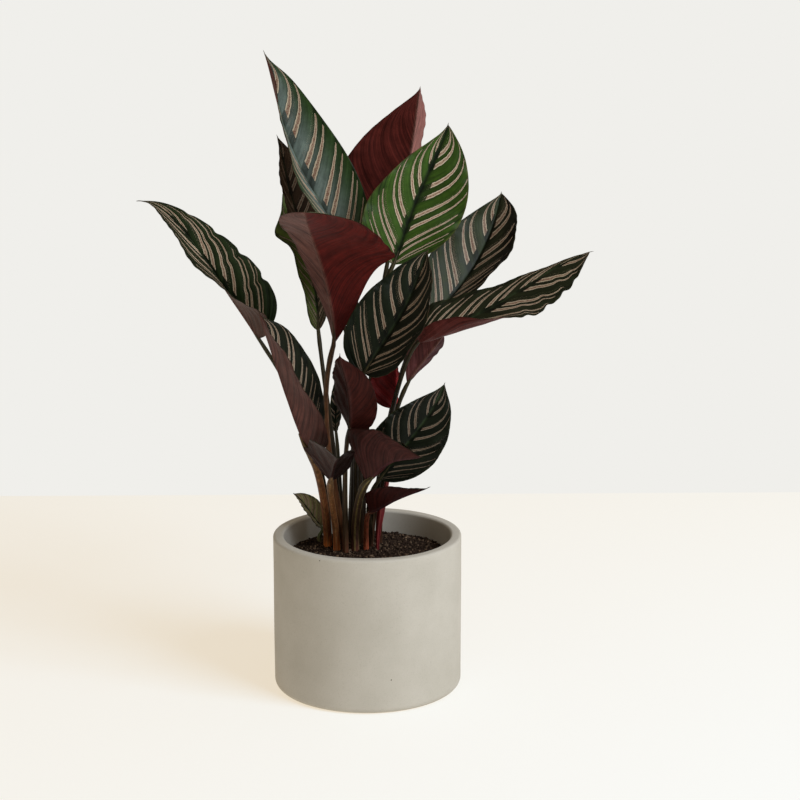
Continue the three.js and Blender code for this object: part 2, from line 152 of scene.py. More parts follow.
def make_concrete():
    """Cast concrete: matt, with clouds 50 mm across, grit of about 1 mm and rare pinholes of 1 mm."""
    material, tree = new_material("cast_concrete")
    place = add(tree, "TexCoord").outputs["Object"]
    cloud = add(tree, "TexNoise", {
        "Vector": place, "Scale": pattern_scale(CLOUD_SIZE), "Detail": 5, "Roughness": 0.6})
    grit = add(tree, "TexNoise", {
        "Vector": place, "Scale": pattern_scale(GRIT_SIZE), "Detail": 3, "Roughness": 0.7})
    cell = add(tree, "TexVoronoi", {"Vector": place, "Scale": pattern_scale(PINHOLE_SPACING)})
    chance = add(tree, "SeparateColor", {"Color": cell.outputs["Color"]})
    rare = add(tree, "Math", {0: chance.outputs["Red"], 1: 1 - PINHOLE_SHARE}, operation="GREATER_THAN")
    disc = add(tree, "MapRange", {
        "Value": cell.outputs["Distance"], "From Min": 0.045, "From Max": 0.07, "To Min": 1, "To Max": 0})
    hole = add(tree, "Math", {0: rare, 1: disc}, operation="MULTIPLY")
    clouds = add(tree, "MapRange", {"Value": cloud, "From Min": 0.25, "From Max": 0.8})
    grains = add(tree, "MapRange", {
        "Value": grit, "From Min": 0.56, "From Max": 0.8, "To Min": 0, "To Max": 0.55})
    colour = linear(CONCRETE)
    for share, tone in ((clouds, CONCRETE_CLOUD), (grains, CONCRETE_GRIT), (hole, PINHOLE)):
        colour = add(tree, "Mix", {0: share, 6: colour, 7: linear(tone)}, data_type="RGBA").outputs[2]
    height = add(tree, "Math", {0: grit, 1: hole}, operation="SUBTRACT")
    rough = add(tree, "MapRange", {"Value": cloud, "To Min": 0.72, "To Max": 0.92})
    return finish_material(material, colour, rough, height, relief=0.3, strength=0.45)


def make_pot():
    """The pot's wall as a turned profile, from the middle of its underside, up the outer face, over the
    rim and down inside. A real casting isn't true: its radius strays by a tenth of a millimetre, in
    waves 2 and 5 times round, and its rim's height in waves 3 and 7 times round. Both are taken off the
    full size, so that the pot stays within it."""
    inner = POT_RADIUS - POT_WALL
    profile = np.concatenate([
        np.linspace((0, 0), (POT_RADIUS - FOOT_ROUNDING, 0), 8)[:-1],
        arc((POT_RADIUS - FOOT_ROUNDING, FOOT_ROUNDING), FOOT_ROUNDING, -90, 0, 10),
        np.linspace((POT_RADIUS, FOOT_ROUNDING), (POT_RADIUS, POT_HEIGHT - RIM_ROUNDING), 34)[1:-1],
        arc((POT_RADIUS - RIM_ROUNDING, POT_HEIGHT - RIM_ROUNDING), RIM_ROUNDING, 0, 90, 8),
        arc((inner + RIM_ROUNDING, POT_HEIGHT - RIM_ROUNDING), RIM_ROUNDING, 90, 180, 8),
        np.linspace((inner, POT_HEIGHT - RIM_ROUNDING), (inner, POT_FLOOR), 20)[1:-1],
        np.linspace((inner, POT_FLOOR), (0, POT_FLOOR), 8),
    ])
    points = turned(profile, POT_SIDES)
    angle = np.linspace(0, 2 * np.pi, POT_SIDES, endpoint=False)[None, :]
    height = profile[:, 1:]
    stray = 0.07 * np.sin(2 * angle + height / 30) + 0.05 * np.sin(5 * angle - height / 17 + 1)
    rim = np.exp(-((height - POT_HEIGHT) / 3) ** 2)
    sag = 0.12 * np.sin(3 * angle + 0.5) + 0.08 * np.sin(7 * angle)
    points[..., :2] *= (1 + (stray - 0.12) / POT_RADIUS)[..., None]
    points[..., 2] += rim * (sag - 0.2)
    pot = new_piece("concrete_pot", points, grid_faces(*points.shape[:2]), [make_concrete()])
    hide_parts("pot")


make_pot()

# The soil. Dark peat compost, filled in by hand to 20 mm below the rim and pressed round the stalks:
# a low mound of crumbs of 1 to 3 mm, with lighter fibres of 3 to 11 mm that lie on it.
SOIL_LEVEL = 117
SOIL_MOUND = 2.5
SOIL_RADIUS = 72.9
SOIL_BASE = 14
SOIL_SIDES = 150
SOIL_RINGS = 60
CRUMB_COUNT = 4200
CRUMB_RADIUS = 0.45
CRUMB_GROWTH = 1.15
FIBRE_COUNT = 900
FIBRE_RINGS = 6
FIBRE_REACH = 1.5
FIBRE_GROWTH = 4
PEAT_SPECK_SIZE = 1.8
PEAT = "#33241a"
PEAT_DARK = "#1a120d"
PEAT_LIGHT = "#7a6450"


def make_peat():
    """Peat compost: matt and nearly black, each crumb a little lighter or darker than the next."""
    material, tree = new_material("peat_compost")
    place = add(tree, "TexCoord").outputs["Object"]
    light = add(tree, "Attribute", attribute_name="tone").outputs["Fac"]
    speck = add(tree, "TexNoise", {
        "Vector": place, "Scale": pattern_scale(PEAT_SPECK_SIZE), "Detail": 3, "Roughness": 0.7})
    pale = add(tree, "MapRange", {"Value": light, "From Min": 0.55, "From Max": 1.0, "To Max": 0.9})
    colour = linear(PEAT_DARK)
    for share, tone in ((speck, PEAT), (pale, PEAT_LIGHT)):
        colour = add(tree, "Mix", {0: share, 6: colour, 7: linear(tone)}, data_type="RGBA").outputs[2]
    return finish_material(material, colour, 0.9, speck, relief=0.6, strength=0.8, gloss=0.1)


def soil_height(radius):
    """The mound: its height falls with the square of the radius from the middle to the wall."""
    return SOIL_LEVEL + SOIL_MOUND - (SOIL_MOUND + 1.0) * (radius / SOIL_RADIUS) ** 2


def scatter(rng, count):
    """Places spread evenly over the soil's disc, each on the mound."""
    radius = (SOIL_RADIUS - 1.5) * np.sqrt(rng.random(count))
    angle = 2 * np.pi * rng.random(count)
    return np.stack([radius * np.cos(angle), radius * np.sin(angle), soil_height(radius)], axis=-1)


def turn(rng, count):
    """Random turns: each is two of three perpendicular unit vectors, made from random directions."""
    first = rng.normal(size=(count, 3))
    first /= np.linalg.norm(first, axis=-1, keepdims=True)
    second = np.cross(first, rng.normal(size=(count, 3)))
    second /= np.linalg.norm(second, axis=-1, keepdims=True)
    return np.stack([first, second, np.cross(first, second)], axis=1)


def mound_shape():
    """The mound's points, faces and tone: a turned body, closed below, whose top is roughened by
    0.5 (sin(x / 2.1 + 2 sin(y / 3.3)) sin(y / 1.7 + sin(x / 2.9)) + 0.7 sin(x / 5 - y / 4))."""
    radii = np.concatenate([np.linspace(0, SOIL_RADIUS, SOIL_RINGS), [SOIL_RADIUS, SOIL_RADIUS - 8, 0]])
    heights = soil_height(radii)
    heights[-3:] = [SOIL_BASE + 6, SOIL_BASE, SOIL_BASE]
    points = turned(np.stack([radii, heights], axis=-1)[::-1], SOIL_SIDES)
    x, y = points[..., 0], points[..., 1]
    rough = np.sin(x / 2.1 + 2 * np.sin(y / 3.3)) * np.sin(y / 1.7 + np.sin(x / 2.9))
    rough = rough + 0.7 * np.sin(x / 5 - y / 4)
    points[3:, :, 2] += 0.5 * rough[3:]
    points[-1, :, 2] = points[-1, 0, 2]
    faces = grid_faces(*points.shape[:2])
    points = points.reshape(-1, 3)
    return points, faces, np.full(len(points), 0.3)


def twelve_cornered_ball():
    """A regular ball of radius one with 12 corners (0, 1, golden ratio) in turn, and its 20 sides: every
    three corners that lie near each other, wound to face outwards."""
    golden = (1 + 5 ** 0.5) / 2
    corner = np.array([(0, a, b * golden) for a in (-1, 1) for b in (-1, 1)])
    ball = np.concatenate([corner, corner[:, [1, 2, 0]], corner[:, [2, 0, 1]]])
    ball /= np.linalg.norm(ball[0])
    near = np.linalg.norm(ball[:, None] - ball[None, :], axis=-1) < 1.1
    a, b, c = np.meshgrid(*[np.arange(12)] * 3, indexing="ij")
    meets = near[a, b] & near[b, c] & near[a, c] & (a < b) & (b < c)
    sides = np.stack([a[meets], b[meets], c[meets]], axis=-1)
    facing = np.cross(ball[sides[:, 1]] - ball[sides[:, 0]], ball[sides[:, 2]] - ball[sides[:, 0]])
    inward = np.sum(facing * ball[sides[:, 0]], axis=-1) < 0
    sides[inward] = sides[inward][:, ::-1]
    return ball, sides


def crumb_shapes(rng):
    """The crumbs' points, faces and tones. Each is the ball with every corner moved in or out by up to a
    quarter, stretched along three axes, turned at random and lifted by up to half its size."""
    ball, sides = twelve_cornered_ball()
    size = CRUMB_RADIUS + CRUMB_GROWTH * rng.random(CRUMB_COUNT) ** 2.5
    stretch = size[:, None] * (0.6 + 0.7 * rng.random((CRUMB_COUNT, 3)))
    dented = ball[None] * (0.75 + 0.5 * rng.random((CRUMB_COUNT, 12, 1))) * stretch[:, None]
    points = scatter(rng, CRUMB_COUNT)[:, None] + dented @ turn(rng, CRUMB_COUNT)
    points[..., 2] += (0.5 * size * rng.random(CRUMB_COUNT))[:, None] + 0.3
    faces = (sides[None] + 12 * np.arange(CRUMB_COUNT)[:, None, None]).reshape(-1, 3)
    return points.reshape(-1, 3), faces, np.repeat(rng.random(CRUMB_COUNT) ** 1.5, 12)


def fibre_shapes(rng):
    """The fibres' points, faces and tones. Each is a three-sided rod along k from -1 to 1, bowed aside
    by k^2, with a thickness of 1 - 0.95 k^4, and turned at random but nearly level."""
    k = np.linspace(-1, 1, FIBRE_RINGS)
    length = FIBRE_REACH + FIBRE_GROWTH * rng.random(FIBRE_COUNT) ** 2
    thick = 0.12 + 0.16 * rng.random(FIBRE_COUNT)
    bow = 0.5 * rng.normal(size=(FIBRE_COUNT, 1)) * (k ** 2)
    spin = np.arange(3) * 2 * np.pi / 3
    girth = thick[:, None, None] * (1 - 0.95 * np.abs(k) ** 4)[None, :, None]
    rods = np.stack([
        np.broadcast_to((length[:, None] * k)[..., None], (FIBRE_COUNT, FIBRE_RINGS, 3)),
        (length[:, None] * bow)[..., None] + girth * np.cos(spin),
        girth * np.sin(spin) + 0 * k[:, None],
    ], axis=-1)
    level = turn(rng, FIBRE_COUNT)
    level[:, 0, 2] *= 0.15
    level[:, 1, 2] *= 0.3
    corners = 3 * FIBRE_RINGS
    points = scatter(rng, FIBRE_COUNT)[:, None] + rods.reshape(FIBRE_COUNT, corners, 3) @ level
    points[..., 2] += 0.9
    first = corners * np.arange(FIBRE_COUNT)[:, None, None]
    faces = (grid_faces(FIBRE_RINGS, 3) + first).reshape(-1, 4)
    return points.reshape(-1, 3), faces, np.repeat(0.45 + 0.55 * rng.random(FIBRE_COUNT), corners)


def make_soil():
    """The mound, the crumbs and the fibres as one mesh, with what is past the pot's inner wall drawn in
    to it. "tone" holds each one's lightness."""
    rng = np.random.default_rng(7)
    mound, mound_faces, mound_tone = mound_shape()
    crumbs, crumb_faces, crumb_tones = crumb_shapes(rng)
    fibres, fibre_faces, fibre_tones = fibre_shapes(rng)
    points = np.concatenate([mound, crumbs, fibres])
    tones = np.concatenate([mound_tone, crumb_tones, fibre_tones])
    from_middle = np.hypot(points[:, 0], points[:, 1])
    beyond = from_middle > SOIL_RADIUS
    points[beyond, :2] *= (SOIL_RADIUS / from_middle[beyond])[:, None]
    quads = np.concatenate([mound_faces, fibre_faces + len(mound) + len(crumbs)])
    triangles = crumb_faces + len(mound)
    soil = new_piece("soil_surface", points, quads.tolist() + triangles.tolist(), [make_peat()],
                     tone=tones[:, None])
    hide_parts("soil")


make_soil()

# The stalks. Each leaf has one slender stalk, round and faintly fluted, that stands in the soil and
# bends once into the leaf's midrib. It is orange-brown at the foot and olive to dark green above.
SINK = 14
BEND_HEIGHT = 121
STALK_RINGS = 60
STALK_SIDES = 30
FLUTES = 5
UNDER_RIB = 0.125
NECK_PLACE = 12
NECK_REACH = 7
NECK_SWELL = 0.16
STREAK_WIDTH = 1.6
STREAK_LENGTH = 32
BLOTCH_SIZE = 4
# One entry is one leaf, in millimetres: "rib" is five points of its midrib, "face" the way its upper
# side looks, "width" each half's width, "shape" how full each outline is at the base and the tip,
# "fold" and "curl" how each half is raised and bent in degrees, "wave" its margin's height, number
# and start of waves, "bulge" the half that stands out, the place, share and reach of that, "foot"
# where it leaves the soil, "ease" how long the stalk keeps its first and last direction, "sway" how
# far it bows out along X and Y, and "girth" the stalk's radius at the soil and at the blade. A fold or
# curl has one number for each half, or several that follow each other along the midrib. USUAL is what
# most leaves have.
LEAVES = {
    "tall-left": dict(
        rib=[(-14, 25, 372), (-35, 36, 414), (-59, 46, 457), (-75, 54, 503), (-87, 58, 549)],
        face=[(0.64, -0.77, 0.1)], width=(41, 41), shape=((0.6, 1), (0.6, 0.95)),
        fold=((35, 42, 48, 68), (40, 40, 38, 35)), curl=((0, 10), 0), wave=(1.2, 3, 0.2),
        foot=(-13, 27), ease=(0.35, 0.2), girth=(3, 1.9)),
    "dark-left": dict(
        rib=[(-35, 58, 355), (-50, 62, 384), (-63, 66, 415), (-71, 68, 447), (-77, 68, 476)],
        face=[(0.6, -0.8, 0.1)], width=(26, 26), shape=((0.6, 1), (0.6, 1)),
        fold=(40, 30), wave=(1, 3, 0.2), foot=(-15, 37), girth=(2.4, 1.5)),
    "wavy-left": dict(
        rib=[(-42, 30, 312), (-45, 57, 341), (-52, 79, 371), (-62, 92, 400), (-72, 98, 426)],
        face=[(-0.1, -1, 0.3)], width=(12.5, 12.5), shape=((0.4, 0.4), (0.3, 0.7)),
        fold=((25, 20), (25, 20)), wave=(2.5, 3, 0.2), bulge=(0, 0.7, 0.95, 0.11),
        foot=(-27, 19), sway=(4, 3), girth=(2.8, 1.7)),
    "top-back": dict(
        rib=[(19, 85, 363), (28, 86, 405), (37, 82, 447), (43, 74, 485), (47, 62, 518)],
        face=[(-0.5, 0.85, 0.1), (-0.5, 0.85, 0.3)], width=(50, 60), shape=((0.6, 0.8), (0.6, 1.15)),
        fold=((40, 48), (30, 25)), wave=(1.5, 3, 0.2), foot=(-4, 35), girth=(3, 1.9)),
    "big-front": dict(
        rib=[(-28, -20, 308), (-31, -34, 353), (-40, -54, 392), (-46, -84, 416), (-48, -124, 434)],
        face=[(0.5, 0.85, 0.1), (0.3, 0.7, 0.6), (0, 0.2, 1)], width=(60, 24),
        shape=((1.2, 0.5), (0.9, 0.35)), fold=((30, 5, 10), (20, 10, 0)),
        curl=((0, -10, -25), 0), wave=(1, 2, 0.2), bulge=(0, 0.55, 0.25, 0.17),
        foot=(-20, 10), sway=(-9, 0), girth=(3.2, 2.1)),
    "top-right": dict(
        rib=[(23, 5, 373), (32, 11, 397), (43, 18, 426), (57, 25, 457), (70, 30, 489)],
        face=[(0.15, -1, 0.2)], width=(42, 42), shape=((0.5, 1.15), (0.9, 0.85)),
        fold=(15, 5), wave=(1.5, 3, 0.2), foot=(-6, 24), girth=(3, 1.9)),
    "front-centre": dict(
        rib=[(-2, -49, 290), (14, -50, 316), (29, -48, 340), (40, -42, 362), (51, -33, 390)],
        face=[(-0.2, -1, 0.2)], width=(35.5, 36), shape=((0.35, 0.65), (0.5, 0.75)),
        fold=(5, (40, 50)), wave=(1.2, 3, 0.2), foot=(-10, 17), ease=(0.35, 0.1), girth=(2.6, 1.7)),
    "right-back": dict(
        rib=[(53, 24, 324), (81, 48, 346), (102, 68, 375), (114, 80, 402), (120, 88, 424)],
        face=[(-0.2, -1, 0.3)], width=(38, 35), shape=((0.6, 1.15), (0.6, 0.8)),
        fold=((15, 20), (65, 40, 20)), wave=(1.5, 3, 0.2),
        foot=(10, 44), ease=(0.6, 0.04), girth=(2.6, 1.6)),
    "far-right": dict(
        rib=[(45, -2, 308), (75, -4, 322), (111, -4, 340), (150, -6, 365), (188, -14, 386)],
        face=[(-0.4, -0.57, 0.72)], width=(29, 38), shape=((0.4, 1.6), (0.4, 0.5)),
        fold=((10, 10, 8), (-15, -10, 0, 8)), curl=(0, (170, 120, 0, 0)), wave=(1.5, 4, 0.2),
        foot=(3, 28), ease=(0.35, 0.15), sway=(7, 2), girth=(2.6, 1.8)),
    "far-left": dict(
        rib=[(-92, -8, 312), (-110, -12, 341), (-134, -14, 379), (-161, -12, 414), (-191, -6, 429)],
        face=[(0.52, -0.71, 0.48)], width=(38, 34), shape=((0.5, 1.3), (0.6, 1.6)),
        fold=((80, 68, 38, 30, 40), (45, 45, 40, 40)), wave=(1.2, 4, 0.2),
        foot=(-34, 31), girth=(2.4, 1.6)),
    "folded-left": dict(
        rib=[(-51, -25, 219), (-64, -36, 256), (-77, -43, 300), (-85, -47, 327), (-89, -46, 341)],
        face=[(0.9, -0.32, 0.3)], width=(33, 33), shape=((0.35, 1), (0.6, 1.4)),
        fold=((78, 58, 43, 43), 43), wave=(1.5, 3, 0.2), foot=(-35, 21), ease=(0.15, 0.3), girth=(4, 3)),
    "dark-centre": dict(
        rib=[(-15, -31, 237), (-14, -42, 256), (-16, -52, 279), (-20, -60, 296), (-22, -66, 309)],
        face=[(0.5, 0.85, 0.2), (0.5, 0.85, 0.3)], width=(23, 27), shape=((0.5, 1.2), (0.5, 1.2)),
        fold=(30, 30), wave=(1, 3, 0.2), foot=(-19, -2), girth=(2.8, 1.8)),
    "low-right": dict(
        rib=[(11, -20, 191), (27, -26, 214), (41, -28, 233), (54, -26, 251), (66, -20, 274)],
        face=[(0, -1, 0.3)], width=(29, 29), shape=((0.5, 0.9), (0.65, 0.85)),
        fold=(12, 12), wave=(1.2, 4, 0.2), foot=(3, 16), girth=(2.5, 1.6)),
    "cupped-right": dict(
        rib=[(0, -38, 193), (10, -48, 206), (20, -60, 216), (31, -74, 222), (44, -90, 228)],
        face=[(-0.15, 0.5, 0.8), (-0.5, 0.3, 0.7)], width=(24, 34), shape=((0.5, 0.9), (0.5, 0.9)),
        fold=(-10, (65, 75)), curl=(140, 0), wave=(1, 2, 0.2),
        bulge=(1, 0.24, 0.3, 0.13), foot=(-11, 5), ease=(0.35, 0.15), girth=(4, 3)),
    "cupped-left": dict(
        rib=[(-31, -38, 194), (-29, -46, 204), (-27, -58, 214), (-25, -74, 222), (-24, -94, 228)],
        face=[(0, 0.7, 0.7), (0, 0.3, 0.9)], width=(21.5, 29), shape=((0.5, 0.9), (0.6, 0.5)),
        fold=(35, 39), wave=(1, 2, 0.2), bulge=(1, 0.33, 0.22, 0.035),
        foot=(-27, 6), ease=(0.35, 0.15), girth=(3.2, 2.6)),
    "narrow-right": dict(
        rib=[(2, -18, 160), (13, -30, 168), (25, -42, 178), (39, -50, 186), (52, -56, 193)],
        face=[(-0.4, 0.5, 0.7)], width=(14, 19), shape=((0.7, 1.5), (0.7, 1.9)),
        fold=(60, 60), wave=(1, 2, 0.2), foot=(-1, 6), ease=(0.3, 0.1), girth=(2.5, 1.7)),
    "slim-back": dict(
        rib=[(-27, 18, 223), (-27, 16, 237), (-26, 14, 251), (-25, 13, 265), (-23, 12, 279)],
        face=[(-0.3, -0.95, 0.1)], width=(6, 7), shape=((0.6, 0.8), (0.6, 0.8)),
        fold=(35, 35), wave=(0.5, 2, 0.2), foot=(-23, 28), girth=(2.1, 1.4)),
    "small-left": dict(
        rib=[(-41, 32, 133), (-47, 31, 141), (-53, 30, 150), (-59, 30, 158), (-65, 31, 164)],
        face=[(0.6, -0.7, 0.4)], width=(10, 13), shape=((0.6, 0.9), (0.6, 0.9)),
        fold=(40, 20), wave=(0.5, 2, 0.2), foot=(-43, 37), girth=(1.8, 1.3)),
    "young-red": dict(
        rib=[(26, 22, 243), (26, 22, 255), (26, 22, 269), (25, 22, 283), (22, 22, 300)],
        face=[(-0.3, 0.9, 0.1)], width=(7, 24), shape=((0.6, 0.9), (0.6, 0.9)),
        fold=(60, 10), wave=(1, 2, 0.2), foot=(9, 6), girth=(2.6, 1.9)),
    "rolled-right": dict(
        rib=[(35, 4, 269), (43, 7, 281), (51, 9, 291), (59, 10, 301), (66, 11, 310)],
        face=[(-0.4, 0.85, 0.3)], width=(12, 21), shape=((0.9, 0.35), (0.9, 0.35)),
        fold=(25, 40), wave=(0, 1, 0), foot=(11, 28), ease=(0.35, 0.2), girth=(2.4, 1.8)),
}
USUAL = dict(curl=(0, 0), ease=(0.35, 0.35), sway=(0, 0))
LEAVES = {name: {**USUAL, **leaf} for name, leaf in LEAVES.items()}
# Each stalk's colours, from the soil up: its foot, its middle, its neck and its pale flutes.
STALK_COLOURS = {
    "folded-left": ("#b4642f", "#6b4026", "#4a3a22", "#8d6a45"),
    "cupped-left": ("#a35a30", "#6e4629", "#57412a", "#92704a"),
    "cupped-right": ("#4a2a20", "#3a2a20", "#3c3322", "#8a7a48"),
    "narrow-right": ("#a04c32", "#6c3524", "#3c1f18", "#8a5a3c"),
    "young-red": ("#581a1c", "#551618", "#641c1e", "#9a4a44"),
    "small-left": ("#5a5634", "#4f5836", "#56603c", "#a7a882"),
    "dark-centre": ("#4c2c1e", "#35281a", "#3a2c1e", "#5c4a30"),
    "big-front": ("#3a2216", "#5a3620", "#3c2c1c", "#7c5a38"),
}
OTHER_STALK = ("#3a2216", "#211a10", "#2e2a18", "#4c4028")


def along(values, t):
    """The smooth curve through evenly spaced values: each value times the product, over the other
    places j, of (n t - j) / (i - j). One value alone is the same all along."""
    values = np.atleast_1d(np.asarray(values, dtype=float))
    last = len(values) - 1
    t = np.asarray(t, dtype=float)
    total = 0
    for i in range(last + 1):
        weight = np.ones_like(t)
        for j in range(last + 1):
            if j != i:
                weight = weight * (t * last - j) / (i - j)
        total = total + (weight[..., None] * values[i] if values.ndim > 1 else weight * values[i])
    return total


def unit(vectors):
    """Vectors scaled to a length of one."""
    return vectors / np.linalg.norm(vectors, axis=-1, keepdims=True)


def rib_frame(leaf, t):
    """The midrib's point at t, its direction ahead, the upper side's direction and the one across."""
    rib = along(leaf["rib"], t)
    ahead = unit(along(leaf["rib"], t + 0.001) - along(leaf["rib"], t - 0.001))
    face = along(leaf["face"], t)
    face = unit(face - ahead * np.sum(face * ahead, axis=-1, keepdims=True))
    return rib, ahead, face, np.cross(ahead, face)


def shaded(tree, colour, patterns):
    """A colour made darker or lighter by patterns in turn: each is a value, where it starts and ends,
    and the factors there."""
    for value, start, end, first, last in patterns:
        factor = add(tree, "MapRange", {"Value": value, "From Min": start, "From Max": end,
                                        "To Min": first, "To Max": last})
        colour = add(tree, "VectorMath", {0: colour, "Scale": factor}, operation="SCALE")
    return colour


def make_stalk_skin():
    """Living stalk: a smooth satin skin whose colour runs in streaks 1.6 mm wide and 32 mm long."""
    material, tree = new_material("leaf_stalk_skin")
    skin = add(tree, "Attribute", attribute_name="skin").outputs["Color"]
    place = add(tree, "TexCoord").outputs["Object"]
    drawn = add(tree, "Mapping", {"Vector": place, "Scale": (1, 1, STREAK_WIDTH / STREAK_LENGTH)})
    streak = add(tree, "TexNoise", {
        "Vector": drawn, "Scale": pattern_scale(STREAK_WIDTH), "Detail": 3, "Roughness": 0.6})
    blotch = add(tree, "TexNoise", {
        "Vector": place, "Scale": pattern_scale(BLOTCH_SIZE), "Detail": 4, "Roughness": 0.65})
    colour = shaded(tree, skin, [(streak, 0.3, 0.7, 0.5, 1.5), (blotch, 0.3, 0.7, 0.8, 1.15)])
    return finish_material(material, colour, 0.45, streak, relief=0.2, strength=0.5, gloss=0.15)


def stalk_line(leaf):
    """Points of the stalk's middle, with its radius and its height from 0 to 1 at each: straight up to
    where it leaves the soil, a cubic Bezier curve to the blade's base, then on under the first eighth
    of the midrib, thinning. It swells a little at its neck, 12 mm below the blade."""
    foot = np.array([*leaf["foot"], BEND_HEIGHT], dtype=float)
    base, ahead, _, _ = rib_frame(leaf, np.array([0.0]))
    reach = np.linalg.norm(base[0] - foot)
    sway = np.array([*leaf["sway"], 0])
    first = foot + np.array([0, 0, reach * leaf["ease"][0]]) + sway
    last = base[0] - ahead[0] * reach * leaf["ease"][1] + sway
    k = np.linspace(0, 1, STALK_RINGS)[:, None]
    bend = ((1 - k) ** 3 * foot + 3 * (1 - k) ** 2 * k * first
            + 3 * (1 - k) * k ** 2 * last + k ** 3 * base[0])
    sunk = np.linspace(foot - (0, 0, SINK), foot, 6)[:-1]
    t = np.linspace(0, UNDER_RIB, 12)[1:]
    rib, _, face, _ = rib_frame(leaf, t)
    middle = np.concatenate([sunk, bend, rib - 0.5 * face * (t[:, None] / UNDER_RIB)])
    low, high = leaf["girth"]
    k = k[:, 0]
    neck = 1 + NECK_SWELL * np.exp(-(((1 - k) * reach - NECK_PLACE) / NECK_REACH) ** 2)
    radius = np.concatenate([np.full(len(sunk), low), (low + (high - low) * k) * neck, high * (1 - 5.5 * t)])
    return middle, radius, np.concatenate([np.zeros(len(sunk)), k, np.ones(len(t))])


def stalk_tones(name, height, flute):
    """The stalk's own colour: the middle's, with the foot's over the lowest fifth, the neck's over the
    upper half and the pale tone along the ridges, where the flutes' cosine is near 1."""
    foot, middle, neck, pale = [np.array(linear(tone)) for tone in STALK_COLOURS.get(name, OTHER_STALK)]
    height = height[:, None, None]
    low = np.clip(1 - height / 0.22, 0, 1) ** 1.5
    high = np.clip((height - 0.55) / 0.45, 0, 1)
    skin = middle + (foot - middle) * low + (neck - middle) * high
    ridge = np.clip(flute, 0, 1)[..., None] ** 4
    return skin + (pale - skin) * 0.6 * ridge


def make_stalk(name, leaf, material):
    """A ring of points carried along the line: radius (1 + 0.035 cos 5a + 0.05 cos 2a) in the plane
    across it, with the five flutes winding slowly. The red one is a young leaf's sheath, which is slim
    at the soil, swollen a quarter of the way up and slim again before it widens to the blade."""
    middle, radius, height = stalk_line(leaf)
    ahead = unit(np.gradient(middle, axis=0))
    front = np.array([0, -1.0, 0])
    out = unit(front - ahead * (ahead @ front)[:, None])
    aside = np.cross(ahead, out)
    angle = np.linspace(0, 2 * np.pi, STALK_SIDES, endpoint=False)[None, :]
    flute = np.cos(FLUTES * angle + 0.8 * np.sin(3 * height[:, None]))
    ring = radius[:, None] * (1 + 0.035 * flute + 0.05 * np.cos(2 * angle))
    if name == "young-red":
        swell = 0.55 + 0.75 * np.exp(-((height - 0.27) / 0.16) ** 2) + 0.45 * height
        ring = ring * swell[:, None]
    points = middle[:, None] + ring[..., None] * (out[:, None] * np.cos(angle)[..., None]
                                                  + aside[:, None] * np.sin(angle)[..., None])
    closed = np.concatenate([np.broadcast_to(middle[:1, None], points[:1].shape), points,
                             np.broadcast_to(middle[-1:, None], points[:1].shape)])
    skin = stalk_tones(name, height, flute)
    skin = np.concatenate([skin[:1], skin, skin[-1:]])
    piece = new_piece(f"stalk_{name}", closed, grid_faces(*closed.shape[:2]), [material], skin=skin)
    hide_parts(f"stalk-{name}")


stalk_skin = make_stalk_skin()
for name, leaf in LEAVES.items():
    make_stalk(name, leaf, stalk_skin)

# The blades. Each is a thin living sheet, 0.5 mm thick, with a midrib that stands out below and lies in
# a groove above. The upper skin is satin green with pairs of pink and cream lines along the side
# veins, the lower skin is maroon, and the tip runs out into a short hair.
MARGIN_THICKNESS = 0.4
LEAST_WIDTH = 0.35
RIB_RELIEF = 1.0
RIB_REACH = 1.3
GROOVE_DEPTH = 0.45
GROOVE_REACH = 0.9
QUILT_RELIEF = 0.3
RIM_REACH = 0.9
LARGE_SPAN = 50
LARGE_GRID = (150, 34)
SMALL_GRID = (90, 24)
HAIR_RINGS = 8
SPREAD = 0.1
WOBBLE_SIZE = 4
FLECK_SIZE = 1.3
MOTTLE_SIZE = 9
UNDER_MOTTLE_SIZE = 12
GREEN = "#1f3213"
MAROON = "#4f221d"
